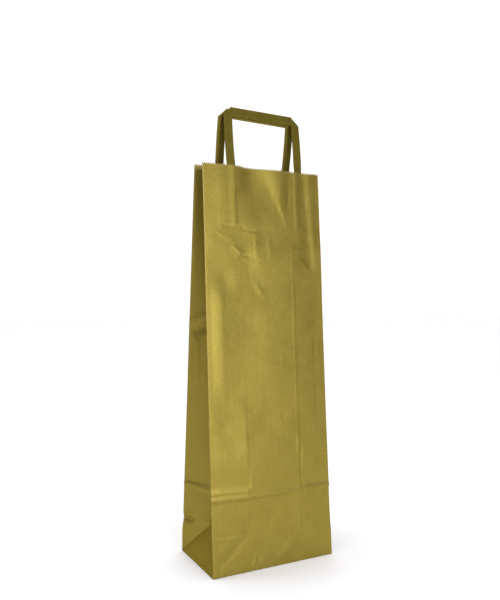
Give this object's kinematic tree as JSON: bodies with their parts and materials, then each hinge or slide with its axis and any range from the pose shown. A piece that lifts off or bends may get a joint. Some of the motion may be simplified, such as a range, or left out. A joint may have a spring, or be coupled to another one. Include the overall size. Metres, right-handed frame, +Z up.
{
  "type": "bottle gift bag",
  "caption": "Tall square-bottom paper gift bag for one bottle, with V gussets and two flat tape handles that swing at the mouth.",
  "frame": {"origin": "centre of the bottom, on the surface the bag stands on", "axes": "+Z up to the handles, X across the front, -Y out of the front"},
  "size_m": [0.136, 0.08, 0.4605],
  "materials": {
    "gold_paper": "satin metallic gold coating on ribbed kraft, outside of the bag",
    "tape_paper": "folded gold kraft tape, slightly darker",
    "inner_paper": "uncoated brown kraft, matt"
  },
  "bodies": {
    "base": {"bottom_outer_flap": "gold_paper", "bottom_inner_flap": "gold_paper", "bottom_left_tuck_flap": "gold_paper", "bottom_right_tuck_flap": "gold_paper"},
    "front": {"front_panel": "gold_paper", "front_patch": "inner_paper", "front_handle_left_tail": "tape_paper", "front_handle_right_tail": "tape_paper"},
    "back": {"back_panel": "gold_paper", "back_lap": "gold_paper", "back_patch": "inner_paper", "back_handle_left_tail": "tape_paper", "back_handle_right_tail": "tape_paper"},
    "front_handle": {"front_handle_loop": "tape_paper"},
    "back_handle": {"back_handle_loop": "tape_paper"},
    "left_gusset_front": {"left_gusset_front_lower": "gold_paper", "left_gusset_front_upper": "gold_paper"},
    "left_gusset_rear": {"left_gusset_rear_lower": "gold_paper", "left_gusset_rear_upper": "gold_paper"},
    "right_gusset_front": {"right_gusset_front_lower": "gold_paper", "right_gusset_front_upper": "gold_paper"},
    "right_gusset_rear": {"right_gusset_rear_lower": "gold_paper", "right_gusset_rear_upper": "gold_paper"},
    "left_lower_side": {"left_lower_triangle": "gold_paper"},
    "right_lower_side": {"right_lower_triangle": "gold_paper"}
  },
  "joints": [
    {"name": "mouth_front", "type": "hinge", "parent": "base", "child": "front", "pos_m": [0, -0.04, 0], "axis": [1, 0, 0], "range_deg": [0, 4.26]},
    {"name": "mouth_back", "type": "hinge", "parent": "base", "child": "back", "pos_m": [0, 0.04, 0], "axis": [-1, 0, 0], "range_deg": [0, 4.26]},
    {"name": "left_gusset_front_fold", "type": "hinge", "parent": "front", "child": "left_gusset_front", "pos_m": [-0.068, -0.04, 0], "axis": [0, 0.0742, 0.9972], "range_deg": [0, 75.61], "deforming": ["left_gusset_front_lower", "left_gusset_front_upper"]},
    {"name": "left_gusset_rear_fold", "type": "hinge", "parent": "back", "child": "left_gusset_rear", "pos_m": [-0.068, 0.04, 0], "axis": [0, 0.0742, -0.9972], "range_deg": [0, 75.61], "deforming": ["left_gusset_rear_lower", "left_gusset_rear_upper"]},
    {"name": "right_gusset_front_fold", "type": "hinge", "parent": "front", "child": "right_gusset_front", "pos_m": [0.068, -0.04, 0], "axis": [0, -0.0742, -0.9972], "range_deg": [0, 75.61], "deforming": ["right_gusset_front_lower", "right_gusset_front_upper"]},
    {"name": "right_gusset_rear_fold", "type": "hinge", "parent": "back", "child": "right_gusset_rear", "pos_m": [0.068, 0.04, 0], "axis": [0, -0.0742, 0.9972], "range_deg": [0, 75.61], "deforming": ["right_gusset_rear_lower", "right_gusset_rear_upper"]},
    {"name": "left_lower_side_fold", "type": "hinge", "parent": "base", "child": "left_lower_side", "pos_m": [-0.068, 0, 0], "axis": [0, -1, 0], "range_deg": [0, 21.46]},
    {"name": "right_lower_side_fold", "type": "hinge", "parent": "base", "child": "right_lower_side", "pos_m": [0.068, 0, 0], "axis": [0, 1, 0], "range_deg": [0, 21.46]},
    {"name": "front_handle_swing", "type": "hinge", "parent": "front", "child": "front_handle", "pos_m": [0.003, -0.01008, 0.39918], "axis": [1, 0, 0], "range_deg": [0, 175]},
    {"name": "back_handle_swing", "type": "hinge", "parent": "back", "child": "back_handle", "pos_m": [-0.0012, 0.01008, 0.39918], "axis": [-1, 0, 0], "range_deg": [0, 175]}
  ],
  "couplings": [
    {"joint": "mouth_back", "follows": "mouth_front", "ratio": 1},
    {"joint": "left_gusset_front_fold", "follows": "mouth_front", "ratio": 17.755},
    {"joint": "left_gusset_rear_fold", "follows": "mouth_front", "ratio": 17.755},
    {"joint": "right_gusset_front_fold", "follows": "mouth_front", "ratio": 17.755},
    {"joint": "right_gusset_rear_fold", "follows": "mouth_front", "ratio": 17.755},
    {"joint": "left_lower_side_fold", "follows": "mouth_front", "ratio": 5.0388},
    {"joint": "right_lower_side_fold", "follows": "mouth_front", "ratio": 5.0388}
  ]
}
